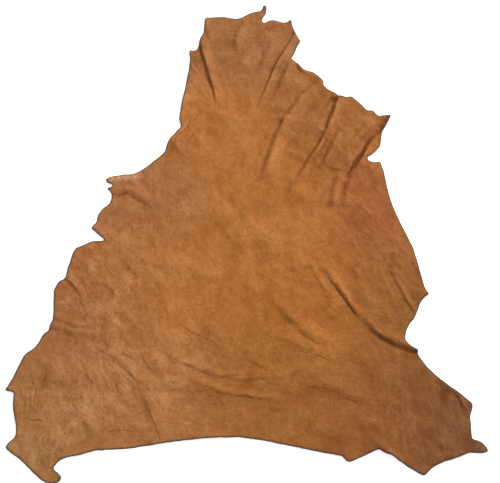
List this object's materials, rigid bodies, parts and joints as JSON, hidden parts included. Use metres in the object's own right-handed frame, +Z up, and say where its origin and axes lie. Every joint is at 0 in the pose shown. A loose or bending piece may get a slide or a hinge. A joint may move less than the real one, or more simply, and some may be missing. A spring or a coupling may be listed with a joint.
{
  "type": "leather hide",
  "caption": "Whole tanned leather hide laid out flat, grain side up, with an irregular cut edge, neck and leg flaps, and soft pleats.",
  "frame": {"origin": "middle of the hide's bounding box in plan, on the surface that the flesh side lies on", "axes": "+X across the hide to the right seen from the rump, +Y along the backbone from rump to neck, +Z up through the grain side"},
  "size_m": [0.758, 0.8844, 0.0116],
  "materials": {
    "leather": "matt aniline, mottled tan brown with fine creases and a thin dark grey-brown cut edge, pale grey at a few tips"
  },
  "bodies": {
    "root": {"hide": "leather"}
  },
  "joints": []
}
